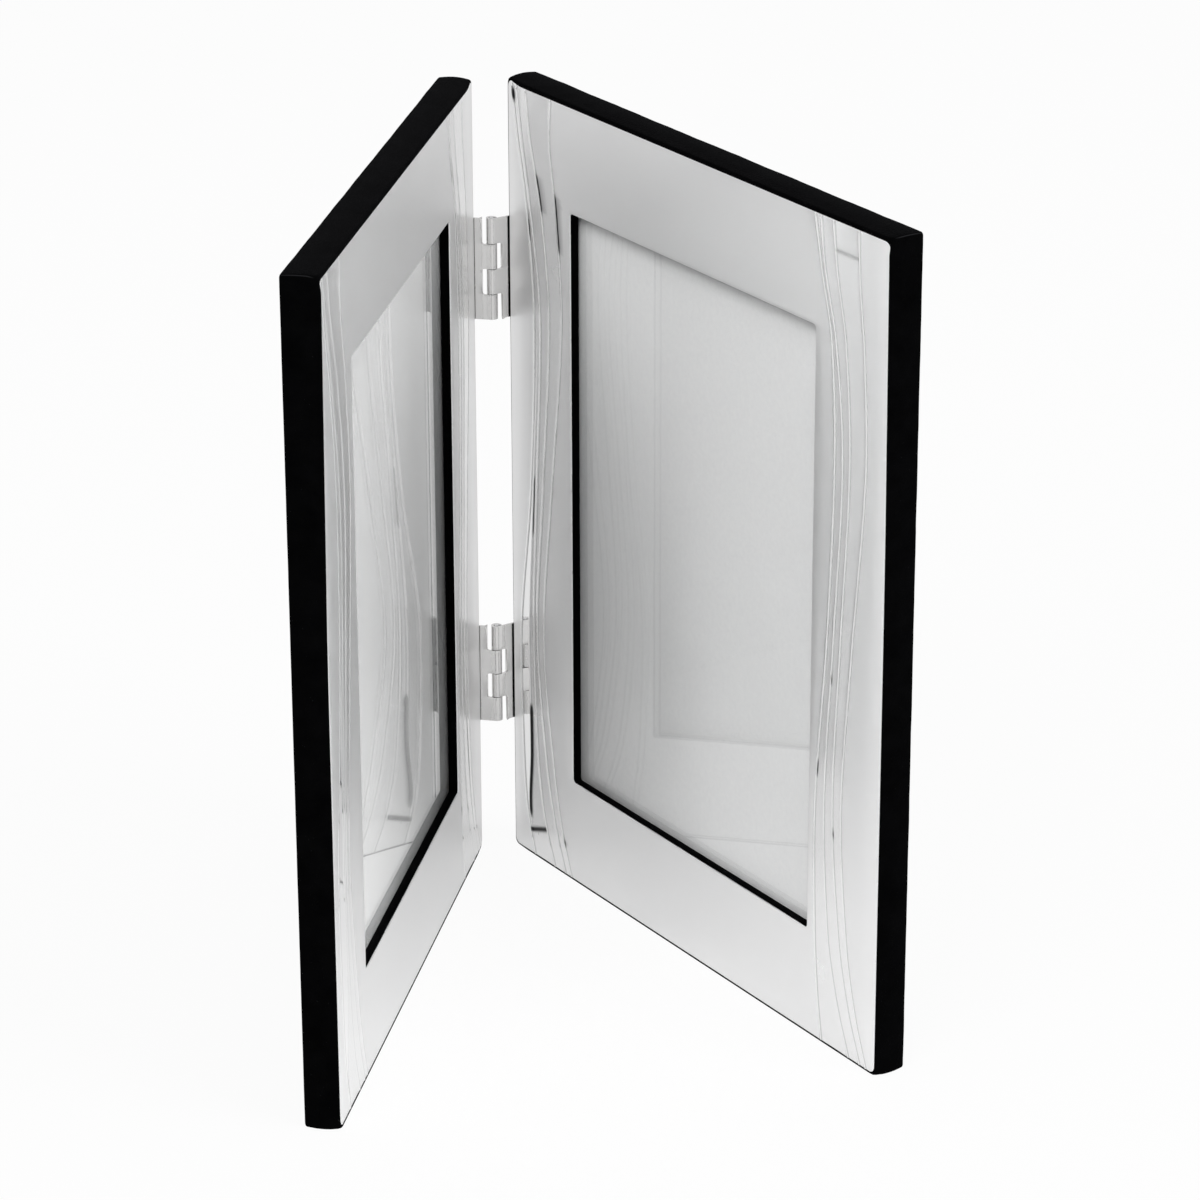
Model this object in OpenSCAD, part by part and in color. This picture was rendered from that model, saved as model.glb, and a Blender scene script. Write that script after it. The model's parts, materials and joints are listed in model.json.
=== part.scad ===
// Double photo frame: two upright panels, hinged along their inner edges and opened to a V.
// A panel is drawn flat in its own coordinates: x across from its hinge side, y back from the
// face of its front plate, z up from the surface it stands on. The left panel is the mirror
// image of the right one, but the wave relief runs the same way on both plates.

/* [Photograph] */
// Width of the photograph that a panel holds
photo_w = 102; // [80:1:130]
// Height of the photograph that a panel holds
photo_h = 152; // [120:1:190]
// Width of the photograph hidden behind each side of the window
side_lap = 3; // [2:0.5:5]
// Height of the photograph hidden behind each end of the window
end_lap = 4; // [2:0.5:6]

/* [Front plate] */
// Width of the plate's border round the window
border_w = 26; // [20:1:40]
// Thickness of the plated sheet
plate_t = 0.6; // [0.4:0.1:1]
// Radius of the plate's outer corners
plate_corner_r = 1.6; // [0.5:0.1:3]
// Radius of the window's corners
window_corner_r = 0.8; // [0.3:0.1:2]
// Height of a wave ridge above the plate's face
ridge_h = 0.6; // [0.3:0.1:1]
// Width of a wave ridge
ridge_w = 1; // [0.6:0.1:1.5]

/* [Velvet body] */
// How far the velvet body stands out past the plate's edges
body_proud = 0.5; // [0.1:0.1:1]
// Thickness of the velvet covering
velvet_t = 0.5; // [0.3:0.1:0.8]
// Depth from the plate's face to the glass
recess_d = 2.3; // [2:0.1:4]
// Radius of the body's back edges
back_r = 1.2; // [0.8:0.1:2]

/* [Glass and back] */
// Thickness of the glass pane
glass_t = 2; // [1.5:0.1:3]
// Thickness of the insert card
card_t = 0.3; // [0.2:0.1:0.6]
// Thickness of the backing board
board_t = 3; // [2:0.1:4]
// How far the glass and the backing reach past the photograph on each side
pane_extra = 0.5; // [0.2:0.1:1]
// Gap between the pane's edges and the rabbet
rabbet_gap = 0.3; // [0.1:0.1:0.6]
// How far the rim stands behind the back of the backing
rim_step = 0.1; // [0.05:0.05:0.5]

/* [Hinges] */
// Angle between each panel and the plane of symmetry
half_angle = 22.25; // [10:0.25:45]
// Height of a hinge
hinge_h = 25; // [18:1:34]
// Distance from the middle of a hinge to the nearer end of the body
hinge_inset = 46.5; // [35:0.1:60]
// Radius of the hinge barrel
barrel_r = 1.3; // [1.2:0.05:1.6]
// Radius of the hinge pin
pin_r = 0.55; // [0.4:0.05:0.65]
// Running gap between the pin and the knuckles
pin_gap = 0.05; // [0.03:0.01:0.08]
// Thickness of a hinge leaf
leaf_t = 0.65; // [0.5:0.05:0.8]
// Distance of the pin in front of the plates' faces
pin_forward = 3.9; // [3.5:0.1:6]
// Gap between a knuckle and the edge of the opposite leaf
notch_gap = 0.75; // [0.3:0.05:1]
// Gap between neighbouring knuckles
knuckle_gap = 0.15; // [0.1:0.05:0.3]
// Radius of a hinge screw
leaf_screw_r = 0.8; // [0.6:0.05:1]
// Length of a hinge screw
leaf_screw_l = 9; // [6:0.5:12]

/* [Turn buttons] */
// Thickness of a turn button
button_t = 0.8; // [0.6:0.1:1.2]
// Radius of a turn button's round end
button_r = 3.6; // [3:0.1:4.5]
// Width of a turn button's arm
arm_w = 5; // [3:0.5:6]
// Distance from a turn button's pivot to its tip
button_reach = 12.5; // [11:0.5:15]
// Distance from a turn button's pivot to the edge of the rabbet
button_offset = 8; // [6:0.5:10]
// Running gap above and below a turn button
button_gap = 0.06; // [0.05:0.01:0.2]
// Radius of a turn button's screw
button_screw_r = 1.1; // [0.8:0.1:1.5]
// Length of a turn button's screw in the body
button_screw_l = 5; // [3:0.5:6]

/* [Hidden] */

$fn = 48;
// Overrun of a cut past the face that it opens
cut_over = 0.5;
// Gap round a screw in its hole
screw_gap = 0.02;

window_w = photo_w - 2 * side_lap;
window_h = photo_h - 2 * end_lap;
plate_w = window_w + 2 * border_w;
plate_h = window_h + 2 * border_w;
body_w = plate_w + 2 * body_proud;
body_h = plate_h + 2 * body_proud;
pane_w = photo_w + 2 * pane_extra;
pane_h = photo_h + 2 * pane_extra;
rabbet_w = pane_w + 2 * rabbet_gap;
rabbet_h = pane_h + 2 * rabbet_gap;
body_d = recess_d + glass_t + card_t + board_t + velvet_t + rim_step;
button_front = body_d + button_gap;
button_back = button_front + button_t;

// Hinge leaf: its far edge stops short of the round on the body's back edge
leaf_margin = 0.4;
leaf_end = body_d - back_r - leaf_margin;
leaf_mid = (plate_t + leaf_end) / 2;
pin_proud = leaf_t / 3;
knuckle_count = 4;
knuckle_h = hinge_h / knuckle_count;
leaf_screw_head_r = 1.9 * leaf_screw_r;
leaf_screw_share = 0.25;
upper_hinge_z = body_h - hinge_inset;
lower_hinge_z = hinge_inset;

// Screw heads on the turn buttons
button_head_r = 2 * button_screw_r;
button_head_h = button_screw_r;
// Height of the domed part of a head, and the radius of that dome
dome_h = button_head_h / 2;
dome_r = (button_head_r * button_head_r + dome_h * dome_h) / (2 * dome_h);
slot_w = button_screw_r / 2;
slot_d = button_head_h / 2;

// Depth of the whole object from front to back, which puts its origin in the middle
front_reach = (body_w + barrel_r) * cos(half_angle) - (plate_t + pin_forward) * sin(half_angle);
leaf_back = (leaf_end + pin_forward) * sin(half_angle) - (barrel_r - leaf_t) * cos(half_angle);
edge_back = (body_d - back_r + pin_forward) * sin(half_angle)
    - (back_r + barrel_r) * cos(half_angle) + back_r;
pin_y = (front_reach - max(leaf_back, edge_back, barrel_r)) / 2;

// Rows of the wave relief, as shares of the plate's height from its top
wave_row_shares = [0, 0.06, 0.14, 0.28, 0.5, 0.7, 0.86, 1];
// Ridges on the left border, as shares of its width from the plate's left edge
left_wave_shares = [
    [0.06, 0.14, 0.28, 0.40, 0.34, 0.20, 0.20, 0.33],
    [0.13, 0.21, 0.34, 0.50, 0.43, 0.36, 0.42, 0.68],
    [0.28, 0.35, 0.52, 0.65, 0.54, 0.45, 0.55, 0.86],
    [0.69, 0.67, 0.77, 0.85, 0.68, 0.56, 0.67, 0.96]];
// Ridges on the right border, as shares of its width from the window's right edge
right_wave_shares = [
    [-0.03, 0.06, 0.22, 0.29, 0.22, 0.09, 0.11, 0.23],
    [0.05, 0.11, 0.28, 0.40, 0.31, 0.22, 0.30, 0.63],
    [0.22, 0.28, 0.42, 0.50, 0.41, 0.34, 0.46, 0.79],
    [0.57, 0.59, 0.67, 0.72, 0.57, 0.46, 0.57, 0.88]];
// Steps between two rows of the relief
wave_steps = 3;

// Slope of a table at one of its rows
function slope(values, i) =
    let(low = max(i - 1, 0), high = min(i + 1, len(values) - 1))
    (values[high] - values[low]) / (wave_row_shares[high] - wave_row_shares[low]);

// Smooth value of a table in its span i, at share t of the way along the span
function smooth(values, i, t) =
    let(span = wave_row_shares[i + 1] - wave_row_shares[i])
    values[i] * (1 + 2 * t) * (1 - t) * (1 - t) + values[i + 1] * t * t * (3 - 2 * t)
    + span * (slope(values, i) * t * (1 - t) * (1 - t) - slope(values, i + 1) * t * t * (1 - t));

// Points along one ridge, from the plate's top to its bottom
function ridge_line(values, from_x) = [
    for (i = [0:len(values) - 2], s = [0:i == len(values) - 2 ? wave_steps : wave_steps - 1])
    let(t = s / wave_steps, row = wave_row_shares[i] * (1 - t) + wave_row_shares[i + 1] * t)
    [from_x + border_w * smooth(values, i, t), plate_h * (1 - row)]];

// Flat shapes
module round_rect(w, h, r) {
    translate([r, 0]) square([w - 2 * r, h]);
    translate([0, r]) square([w, h - 2 * r]);
    for (x = [r, w - r], y = [r, h - r]) translate([x, y]) circle(r);
}

// Section whose two back corners are round, x across and y back
module back_rounded(low, high, front, back, r) {
    translate([low, front]) square([high - low, back - r - front]);
    translate([low + r, front]) square([high - low - 2 * r, back - front]);
    for (x = [low + r, high - r]) translate([x, back - r]) circle(r);
}

// Stands a flat shape up, its face at depth y and its thickness going back
module upright(y, thickness) {
    translate([0, y + thickness, 0]) rotate([90, 0, 0]) linear_extrude(thickness) children();
}

// Upright block round the panel's middle, from depth y
module middle_block(w, h, y, thickness) {
    translate([(body_w - w) / 2, y, (body_h - h) / 2]) cube([w, thickness, h]);
}

// Body with rounded back edges, drawn in from the outside by inset
module body_block(inset, front, back, r) {
    intersection() {
        translate([0, 0, inset]) linear_extrude(body_h - 2 * inset)
            back_rounded(inset, body_w - inset, front, back, r);
        translate([inset, 0, 0]) rotate([90, 0, 90]) linear_extrude(body_w - 2 * inset)
            mirror([1, -1]) back_rounded(inset, body_h - inset, front, back, r);
    }
}

// Space of the window and, behind it, of the rabbet, each grown by a margin
module window_space(margin, ledge) {
    translate([(body_w - window_w) / 2 - margin, 0, (body_h - window_h) / 2 - margin])
        upright(-cut_over, ledge + 2 * cut_over)
        round_rect(window_w + 2 * margin, window_h + 2 * margin, window_corner_r + margin);
    middle_block(rabbet_w + 2 * margin, rabbet_h + 2 * margin, ledge, body_d + cut_over - ledge);
}

// Places of the turn buttons: across, up and the turn that points the arm at the backing
function button_spots() =
    let(side = (rabbet_w / 2 + button_offset), end = (rabbet_h / 2 + button_offset))
    [[body_w / 2, body_h / 2 + end, -90], [body_w / 2, body_h / 2 - end, 90],
     [body_w / 2 - side, body_h / 2, 0], [body_w / 2 + side, body_h / 2, 180]];

module at_button(i) {
    spot = button_spots()[i];
    translate([spot[0], 0, spot[1]]) rotate([0, -spot[2], 0]) children();
}

// Holes in the body for the screws of the turn buttons and of the hinge leaves
module screw_holes() {
    for (i = [0:3]) at_button(i) rotate([90, 0, 0])
        translate([0, 0, -body_d - cut_over])
        cylinder(r = button_screw_r + screw_gap, h = button_screw_l + cut_over + screw_gap);
    for (z = [lower_hinge_z, upper_hinge_z]) translate([0, 0, z]) leaf_screw_spots()
        translate([-cut_over, 0, 0]) rotate([0, 90, 0])
        cylinder(r = leaf_screw_r + screw_gap, h = leaf_screw_l + cut_over + screw_gap);
}

module leaf_screw_spots() {
    for (side = [-1, 1]) translate([0, leaf_mid, side * hinge_h * leaf_screw_share]) children();
}

module ridges(tables, from_x) {
    for (values = tables) {
        line = ridge_line(values, from_x);
        last = len(line) - 1;
        polygon(concat([for (p = line) [p[0] - ridge_w / 2, p[1]]],
            [for (i = [0:last]) [line[last - i][0] + ridge_w / 2, line[last - i][1]]]));
    }
}

// Front plate in its own coordinates, seen from the front with x to the right
module plate_face() {
    upright(0, plate_t) difference() {
        round_rect(plate_w, plate_h, plate_corner_r);
        translate([border_w, border_w]) round_rect(window_w, window_h, window_corner_r);
    }
    upright(-ridge_h, ridge_h + plate_t / 2) intersection() {
        round_rect(plate_w, plate_h, plate_corner_r);
        union() {
            ridges(left_wave_shares, 0);
            ridges(right_wave_shares, plate_w - border_w);
        }
    }
}

module front_plate(mirrored) {
    color([0.80, 0.81, 0.82]) translate([body_proud, 0, body_proud])
        if (mirrored) translate([plate_w, 0, 0]) mirror([1, 0, 0]) plate_face();
        else plate_face();
}

module velvet_wrap() {
    color([0.03, 0.03, 0.035]) difference() {
        body_block(0, plate_t, body_d, back_r);
        window_space(0, recess_d);
        difference() {
            body_block(velvet_t, plate_t - cut_over, body_d - velvet_t, back_r - velvet_t);
            window_space(velvet_t, recess_d - velvet_t);
        }
        screw_holes();
    }
}

module frame_core() {
    color([0.60, 0.45, 0.30]) difference() {
        body_block(velvet_t, plate_t, body_d - velvet_t, back_r - velvet_t);
        window_space(velvet_t, recess_d - velvet_t);
        screw_holes();
    }
}

module glass() {
    color([0.85, 0.92, 0.92, 0.4]) middle_block(pane_w, pane_h, recess_d, glass_t);
}

module insert_card() {
    color([0.93, 0.93, 0.93]) middle_block(photo_w, photo_h, recess_d + glass_t, card_t);
}

module backing_board() {
    color([0.55, 0.42, 0.28])
        middle_block(pane_w, pane_h, recess_d + glass_t + card_t, board_t);
}

module backing_velvet() {
    color([0.03, 0.03, 0.035])
        middle_block(pane_w, pane_h, recess_d + glass_t + card_t + board_t, velvet_t);
}

module turn_button(i) {
    color([0.75, 0.76, 0.78]) at_button(i) difference() {
        upright(button_front, button_t) {
            circle(button_r);
            translate([0, -arm_w / 2]) square([button_reach - arm_w / 2, arm_w]);
            translate([button_reach - arm_w / 2, 0]) circle(arm_w / 2);
        }
        upright(button_front - cut_over, button_t + 2 * cut_over)
            circle(button_screw_r + pin_gap);
    }
}

module turn_button_screws() {
    color([0.70, 0.71, 0.73]) for (i = [0:3]) at_button(i) difference() {
        translate([0, button_back + button_gap, 0]) rotate([-90, 0, 0]) {
            translate([0, 0, -button_screw_l - button_t - 2 * button_gap])
                cylinder(r = button_screw_r, h = button_screw_l + button_t + 3 * button_gap);
            intersection() {
                cylinder(r = button_head_r, h = button_head_h);
                translate([0, 0, button_head_h - dome_r]) sphere(dome_r);
            }
        }
        translate([-button_head_r - cut_over, button_back + button_gap + slot_d, -slot_w / 2])
            cube([2 * (button_head_r + cut_over), button_head_h, slot_w]);
    }
}

// Half hinge on the right panel, its middle at height z; first is its lowest knuckle
module hinge_leaf(z, first) {
    color([0.80, 0.80, 0.81]) translate([0, 0, z - hinge_h / 2]) difference() {
        union() {
            translate([-leaf_t, -pin_forward, 0]) cube([leaf_t, pin_forward + leaf_end, hinge_h]);
            translate([-barrel_r, -pin_forward, 0]) cylinder(r = barrel_r, h = hinge_h);
        }
        for (i = [0:knuckle_count - 1]) if ((i + first) % 2 != 0)
            translate([-2 * barrel_r - cut_over, -pin_forward - barrel_r - cut_over,
                i * knuckle_h - knuckle_gap / 2])
                cube([2 * (barrel_r + cut_over), 2 * barrel_r + notch_gap + cut_over,
                    knuckle_h + knuckle_gap]);
        translate([-barrel_r, -pin_forward, -cut_over])
            cylinder(r = pin_r + pin_gap, h = hinge_h + 2 * cut_over);
        translate([-leaf_t, 0, hinge_h / 2]) leaf_screw_spots() {
            leaf_screw(screw_gap);
            translate([-cut_over, 0, 0]) rotate([0, 90, 0])
                cylinder(r = leaf_screw_head_r + screw_gap, h = cut_over);
        }
    }
}

// Countersunk screw with its head flush with the leaf, grown by a gap for its hole
module leaf_screw(gap) {
    rotate([0, 90, 0]) {
        cylinder(r1 = leaf_screw_head_r + gap, r2 = leaf_screw_r + gap, h = leaf_t);
        cylinder(r = leaf_screw_r + gap, h = leaf_screw_l + leaf_t);
    }
}

module hinge_screws() {
    color([0.76, 0.76, 0.78]) for (z = [lower_hinge_z, upper_hinge_z])
        translate([-leaf_t, 0, z]) leaf_screw_spots() leaf_screw(0);
}

module hinge_pin(z) {
    color([0.72, 0.72, 0.74]) translate([0, pin_y, z - hinge_h / 2 - pin_proud])
        cylinder(r = pin_r, h = hinge_h + 2 * pin_proud);
}

// Places of the two panels, both turned about the hinge pins
module on_right() {
    translate([0, pin_y, 0]) rotate([0, 0, half_angle - 90])
        translate([barrel_r, pin_forward, 0]) children();
}

module on_left() {
    mirror([1, 0, 0]) on_right() children();
}

on_left() front_plate(true);  // left_front_plate
on_left() velvet_wrap();  // left_velvet_wrap
on_left() frame_core();  // left_frame_core
on_left() glass();  // left_glass
on_left() insert_card();  // left_insert_card
on_left() backing_board();  // left_backing_board
on_left() backing_velvet();  // left_backing_velvet
on_left() turn_button_screws();  // left_turn_button_screws
on_left() hinge_screws();  // left_hinge_screws
on_right() front_plate(false);  // right_front_plate
on_right() velvet_wrap();  // right_velvet_wrap
on_right() frame_core();  // right_frame_core
on_right() glass();  // right_glass
on_right() insert_card();  // right_insert_card
on_right() backing_board();  // right_backing_board
on_right() backing_velvet();  // right_backing_velvet
on_right() turn_button_screws();  // right_turn_button_screws
on_right() hinge_screws();  // right_hinge_screws
on_left() turn_button(0);  // left_turn_button_top
on_left() turn_button(1);  // left_turn_button_bottom
on_left() turn_button(2);  // left_turn_button_inner
on_left() turn_button(3);  // left_turn_button_outer
on_right() turn_button(0);  // right_turn_button_top
on_right() turn_button(1);  // right_turn_button_bottom
on_right() turn_button(2);  // right_turn_button_inner
on_right() turn_button(3);  // right_turn_button_outer
on_left() hinge_leaf(upper_hinge_z, 0);  // upper_hinge_left_leaf
on_right() hinge_leaf(upper_hinge_z, 1);  // upper_hinge_right_leaf
hinge_pin(upper_hinge_z);  // upper_hinge_pin
on_left() hinge_leaf(lower_hinge_z, 0);  // lower_hinge_left_leaf
on_right() hinge_leaf(lower_hinge_z, 1);  // lower_hinge_right_leaf
hinge_pin(lower_hinge_z);  // lower_hinge_pin
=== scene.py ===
"""Looks of the double photo frame: relief fronts, velvet bodies, glazing, hinges and backs.

Shapes are worked out in a panel's own coordinates, in millimetres: x across from the hinge side,
y back from the face of the front plate, z up from the surface the frame stands on.
"""
import json
import math

import bmesh
import bpy
import numpy as np
from mathutils import Matrix, Vector
from mathutils.geometry import tessellate_polygon

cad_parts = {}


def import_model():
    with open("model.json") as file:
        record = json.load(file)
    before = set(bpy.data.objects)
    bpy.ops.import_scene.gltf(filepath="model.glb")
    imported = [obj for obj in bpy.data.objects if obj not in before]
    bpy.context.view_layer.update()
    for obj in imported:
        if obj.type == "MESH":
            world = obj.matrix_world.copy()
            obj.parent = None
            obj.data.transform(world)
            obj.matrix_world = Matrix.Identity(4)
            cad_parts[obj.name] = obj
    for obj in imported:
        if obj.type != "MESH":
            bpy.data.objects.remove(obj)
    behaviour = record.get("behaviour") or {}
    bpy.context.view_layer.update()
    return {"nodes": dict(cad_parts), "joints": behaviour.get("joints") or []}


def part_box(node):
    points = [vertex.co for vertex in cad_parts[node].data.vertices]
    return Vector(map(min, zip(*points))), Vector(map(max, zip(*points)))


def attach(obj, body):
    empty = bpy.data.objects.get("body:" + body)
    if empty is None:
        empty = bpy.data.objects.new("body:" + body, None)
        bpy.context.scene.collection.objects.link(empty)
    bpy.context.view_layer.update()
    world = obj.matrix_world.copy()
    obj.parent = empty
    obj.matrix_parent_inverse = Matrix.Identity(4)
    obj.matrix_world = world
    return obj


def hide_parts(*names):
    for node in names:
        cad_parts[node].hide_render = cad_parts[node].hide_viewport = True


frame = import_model()

MM = 0.001

# Sizes of a panel
PLATE_W, PLATE_H, PLATE_T = 148.0, 196.0, 0.6
BORDER = 26.0
PROUD = 0.5
PLATE_CORNER, WINDOW_CORNER = 1.6, 0.8
BODY_W, BODY_H, BODY_D = PLATE_W + 2 * PROUD, PLATE_H + 2 * PROUD, 8.2
RECESS, GLASS_T, CARD_T, BOARD_T = 2.3, 2.0, 0.3, 3.0
PHOTO_W, PHOTO_H = 102.0, 152.0
PANE_W, PANE_H = 103.0, 153.0
RABBET_W, RABBET_H = 103.6, 153.6
WINDOW_W, WINDOW_H = PLATE_W - 2 * BORDER, PLATE_H - 2 * BORDER

joints = {j["name"]: j for j in frame["joints"]}


def vertices(node):
    """Corners of a CAD node, one per row, in metres."""
    mesh = frame["nodes"][node].data
    points = np.zeros(len(mesh.vertices) * 3)
    mesh.vertices.foreach_get("co", points)
    return points.reshape(-1, 3)


class Panel:
    """One of the two panels, with the way from its own coordinates to the frame's."""

    def __init__(self, name):
        self.name = name
        self.body = name + "_panel"
        back = np.array(joints[name + "_turn_button_top_turn"]["axis"], float)
        self.mirrored = back[0] < 0
        self.back = back / np.linalg.norm(back)
        self.across = np.array([math.copysign(self.back[1], back[0]), -abs(self.back[0]), 0.0])
        velvet = vertices(name + "_velvet_wrap")
        self.origin = (self.across * (velvet @ self.across).min()
                       + self.back * ((velvet @ self.back).max() - BODY_D * MM))

    def place(self, points):
        points = np.asarray(points, float) * MM
        return (self.origin + points[:, :1] * self.across + points[:, 1:2] * self.back
                + points[:, 2:3] * np.array([0, 0, 1.0]))


panels = [Panel("left"), Panel("right")]


def band(a, b):
    """Faces between two closed rings of point numbers."""
    following = [(k, (k + 1) % len(a)) for k in range(len(a))]
    return [(a[k], a[n], b[n], b[k]) for k, n in following]


def stack(rings, start=0):
    """Point numbers of rings of one size, counted from a start, and the faces from ring to ring."""
    size = len(rings[0])
    numbers = [range(start + a * size, start + (a + 1) * size) for a in range(len(rings))]
    return numbers, [f for a, b in zip(numbers, numbers[1:]) for f in band(a, b)]


def new_mesh(name, points, faces, material, smooth=True, flip=False):
    mesh = bpy.data.meshes.new(name)
    faces = [tuple(reversed(f)) for f in faces] if flip else faces
    mesh.from_pydata([tuple(p) for p in points], [], faces)
    mesh.validate()
    mesh.polygons.foreach_set("use_smooth", [smooth] * len(mesh.polygons))
    piece = bpy.data.objects.new(name, mesh)
    bpy.context.scene.collection.objects.link(piece)
    mesh.materials.append(material)
    return piece


def fix_normals(piece):
    """Turns every face outwards."""
    shape = bmesh.new()
    shape.from_mesh(piece.data)
    bmesh.ops.recalc_face_normals(shape, faces=shape.faces)
    shape.to_mesh(piece.data)
    shape.free()


def store(piece, name, values):
    """Keeps one value per corner of a piece for its material."""
    kept = piece.data.attributes.new(name, "FLOAT", "POINT")
    kept.data.foreach_set("value", np.asarray(values, np.float32))


def panel_piece(panel, node, points, faces, material, smooth=True):
    """A piece in a panel's coordinates that stands for one of the panel's CAD nodes."""
    piece = new_mesh(node + "_piece", panel.place(points), faces, material, smooth, panel.mirrored)
    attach(piece, panel.body)
    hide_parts(node)
    return piece


# Materials

# Range in which most values of a noise lie
NOISE_LOW, NOISE_HIGH = 0.3, 0.7
# Silver plate: tones where it is satin, polished (a little brighter, a painted highlight) and darkened
# beside its lines (painted shade and dark reflections), its roughness, and what polish takes off
SATIN_TONES = (0.935, 0.935, 0.937), (0.955, 0.955, 0.955)
POLISHED_HIGHLIGHT_TONE, PAINTED_SHADE_TONE = (0.975, 0.975, 0.975), (0.02, 0.02, 0.021)
SATIN_ROUGHNESS, POLISH_GAIN = (0.35, 0.39), 0.32
# Tones of the other materials, the darker one first, and of the velvet's painted sheen
NAP_TONES, PAINTED_SHEEN_TONE = ((0.0006, 0.0006, 0.0007), (0.0018, 0.0018, 0.0020)), (0.03, 0.03, 0.032)
GLASS_TONES, GLASS_ROUGHNESS = ((0.992, 0.997, 0.995), (0.996, 0.999, 0.998)), (0.0, 0.012)
CARD_TONES = (0.755, 0.755, 0.76), (0.795, 0.795, 0.795)
NICKEL_TONES = (0.63, 0.625, 0.62), (0.70, 0.695, 0.69)
STEEL_TONES = (0.64, 0.64, 0.65), (0.72, 0.72, 0.73)
FIBREBOARD_TONES = (0.36, 0.26, 0.16), (0.52, 0.39, 0.26)
HARDBOARD_TONES = (0.20, 0.13, 0.08), (0.33, 0.23, 0.15)
FLOOR_TONES = (0.87, 0.87, 0.87), (0.89, 0.89, 0.89)


def material(name):
    made = bpy.data.materials.new(name)
    made.use_nodes = True
    return made, made.node_tree, made.node_tree.nodes["Principled BSDF"]


def node(tree, kind, **values):
    made = tree.nodes.new(kind)
    for key, value in values.items():
        if hasattr(made, key):
            setattr(made, key, value)
        else:
            made.inputs[key.replace("_", " ")].default_value = value
    return made


def noise(tree, scale, detail, roughness=0.5):
    """Noise in the frame's metres."""
    coordinates = node(tree, "ShaderNodeTexCoord")
    texture = node(tree, "ShaderNodeTexNoise", Scale=scale, Detail=detail, Roughness=roughness)
    tree.links.new(coordinates.outputs["Object"], texture.inputs["Vector"])
    return texture.outputs["Fac"]


def spread(tree, value, low, high):
    """Spreads a noise over the values from low to high."""
    mapped = node(tree, "ShaderNodeMapRange")
    mapped.inputs["From Min"].default_value = NOISE_LOW
    mapped.inputs["From Max"].default_value = NOISE_HIGH
    mapped.inputs["To Min"].default_value = low
    mapped.inputs["To Max"].default_value = high
    tree.links.new(value, mapped.inputs["Value"])
    return mapped.outputs["Result"]


def blend_colours(tree, value, tones):
    """Colour that a noise moves between two tones."""
    ramp = node(tree, "ShaderNodeValToRGB")
    for element, position, tone in zip(ramp.color_ramp.elements, (NOISE_LOW, NOISE_HIGH), tones):
        element.position = position
        element.color = (*tone, 1)
    tree.links.new(value, ramp.inputs["Fac"])
    return ramp.outputs["Color"]


def blend_by(tree, attribute, first, second):
    """Colour that goes from one made by nodes to a plain one with a value kept on the mesh."""
    share = node(tree, "ShaderNodeAttribute", attribute_name=attribute)
    made = node(tree, "ShaderNodeMix", data_type="RGBA")
    tree.links.new(share.outputs["Fac"], made.inputs[0])
    tree.links.new(first, made.inputs[6])
    made.inputs[7].default_value = (*second, 1)
    return made.outputs[2]


def mixed(tree, share, first, second):
    """Shader that goes from one to another with a share."""
    made = node(tree, "ShaderNodeMixShader")
    tree.links.new(share, made.inputs["Fac"])
    tree.links.new(first, made.inputs[1])
    tree.links.new(second, made.inputs[2])
    return made.outputs["Shader"]


def bump(tree, shader, height, strength, distance):
    made = node(tree, "ShaderNodeBump", Strength=strength, Distance=distance)
    tree.links.new(height, made.inputs["Height"])
    tree.links.new(made.outputs["Normal"], shader.inputs["Normal"])


def metal(name, tones, roughness, grain, grain_height):
    made, tree, shader = material(name)
    shader.inputs["Metallic"].default_value = 1.0
    cloud = noise(tree, scale=35.0, detail=4.0)
    tree.links.new(blend_colours(tree, cloud, tones), shader.inputs["Base Color"])
    fine = noise(tree, scale=grain, detail=3.0)
    tree.links.new(spread(tree, fine, *roughness), shader.inputs["Roughness"])
    bump(tree, shader, fine, strength=0.3, distance=grain_height)
    return made


def silver_material():
    """Satin on its flats and polished along its lines, where polish also lifts the tone a little as a
    painted highlight, with painted shade and dark reflections beside the lines.
    """
    made, tree, shader = material("silver_plate")
    shader.inputs["Metallic"].default_value = 1.0
    satin = blend_colours(tree, noise(tree, scale=35.0, detail=4.0), SATIN_TONES)
    # Polished lines and facets take a slightly brighter tone, a painted highlight, besides their lower
    # roughness
    bright = blend_by(tree, "polish", satin, POLISHED_HIGHLIGHT_TONE)
    # Painted shade and dark reflections beside the lines, near black where strongest
    tree.links.new(blend_by(tree, "painted_shade", bright, PAINTED_SHADE_TONE), shader.inputs["Base Color"])
    rough = spread(tree, noise(tree, scale=90.0, detail=3.0), *SATIN_ROUGHNESS)
    polish = node(tree, "ShaderNodeAttribute", attribute_name="polish")
    smooth = node(tree, "ShaderNodeMath", operation="MULTIPLY_ADD")
    smooth.inputs[1].default_value = -POLISH_GAIN
    tree.links.new(polish.outputs["Fac"], smooth.inputs[0])
    tree.links.new(rough, smooth.inputs[2])
    tree.links.new(smooth.outputs["Value"], shader.inputs["Roughness"])
    return made


def velvet_material():
    made, tree, shader = material("black_velvet")
    nap = noise(tree, scale=180.0, detail=5.0, roughness=0.6)
    deep = blend_colours(tree, nap, NAP_TONES)
    # Painted sheen: a paler tone along the edge between the outer side and the top
    tree.links.new(blend_by(tree, "painted_sheen", deep, PAINTED_SHEEN_TONE), shader.inputs["Base Color"])
    shader.inputs["Roughness"].default_value = 1.0
    shader.inputs["Specular IOR Level"].default_value = 0.015
    shader.inputs["Sheen Weight"].default_value = 0.012
    shader.inputs["Sheen Roughness"].default_value = 0.4
    shader.inputs["Sheen Tint"].default_value = (0.9, 0.9, 1.0, 1)
    bump(tree, shader, noise(tree, scale=2600.0, detail=2.0), strength=0.6, distance=0.0003)
    return made


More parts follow.
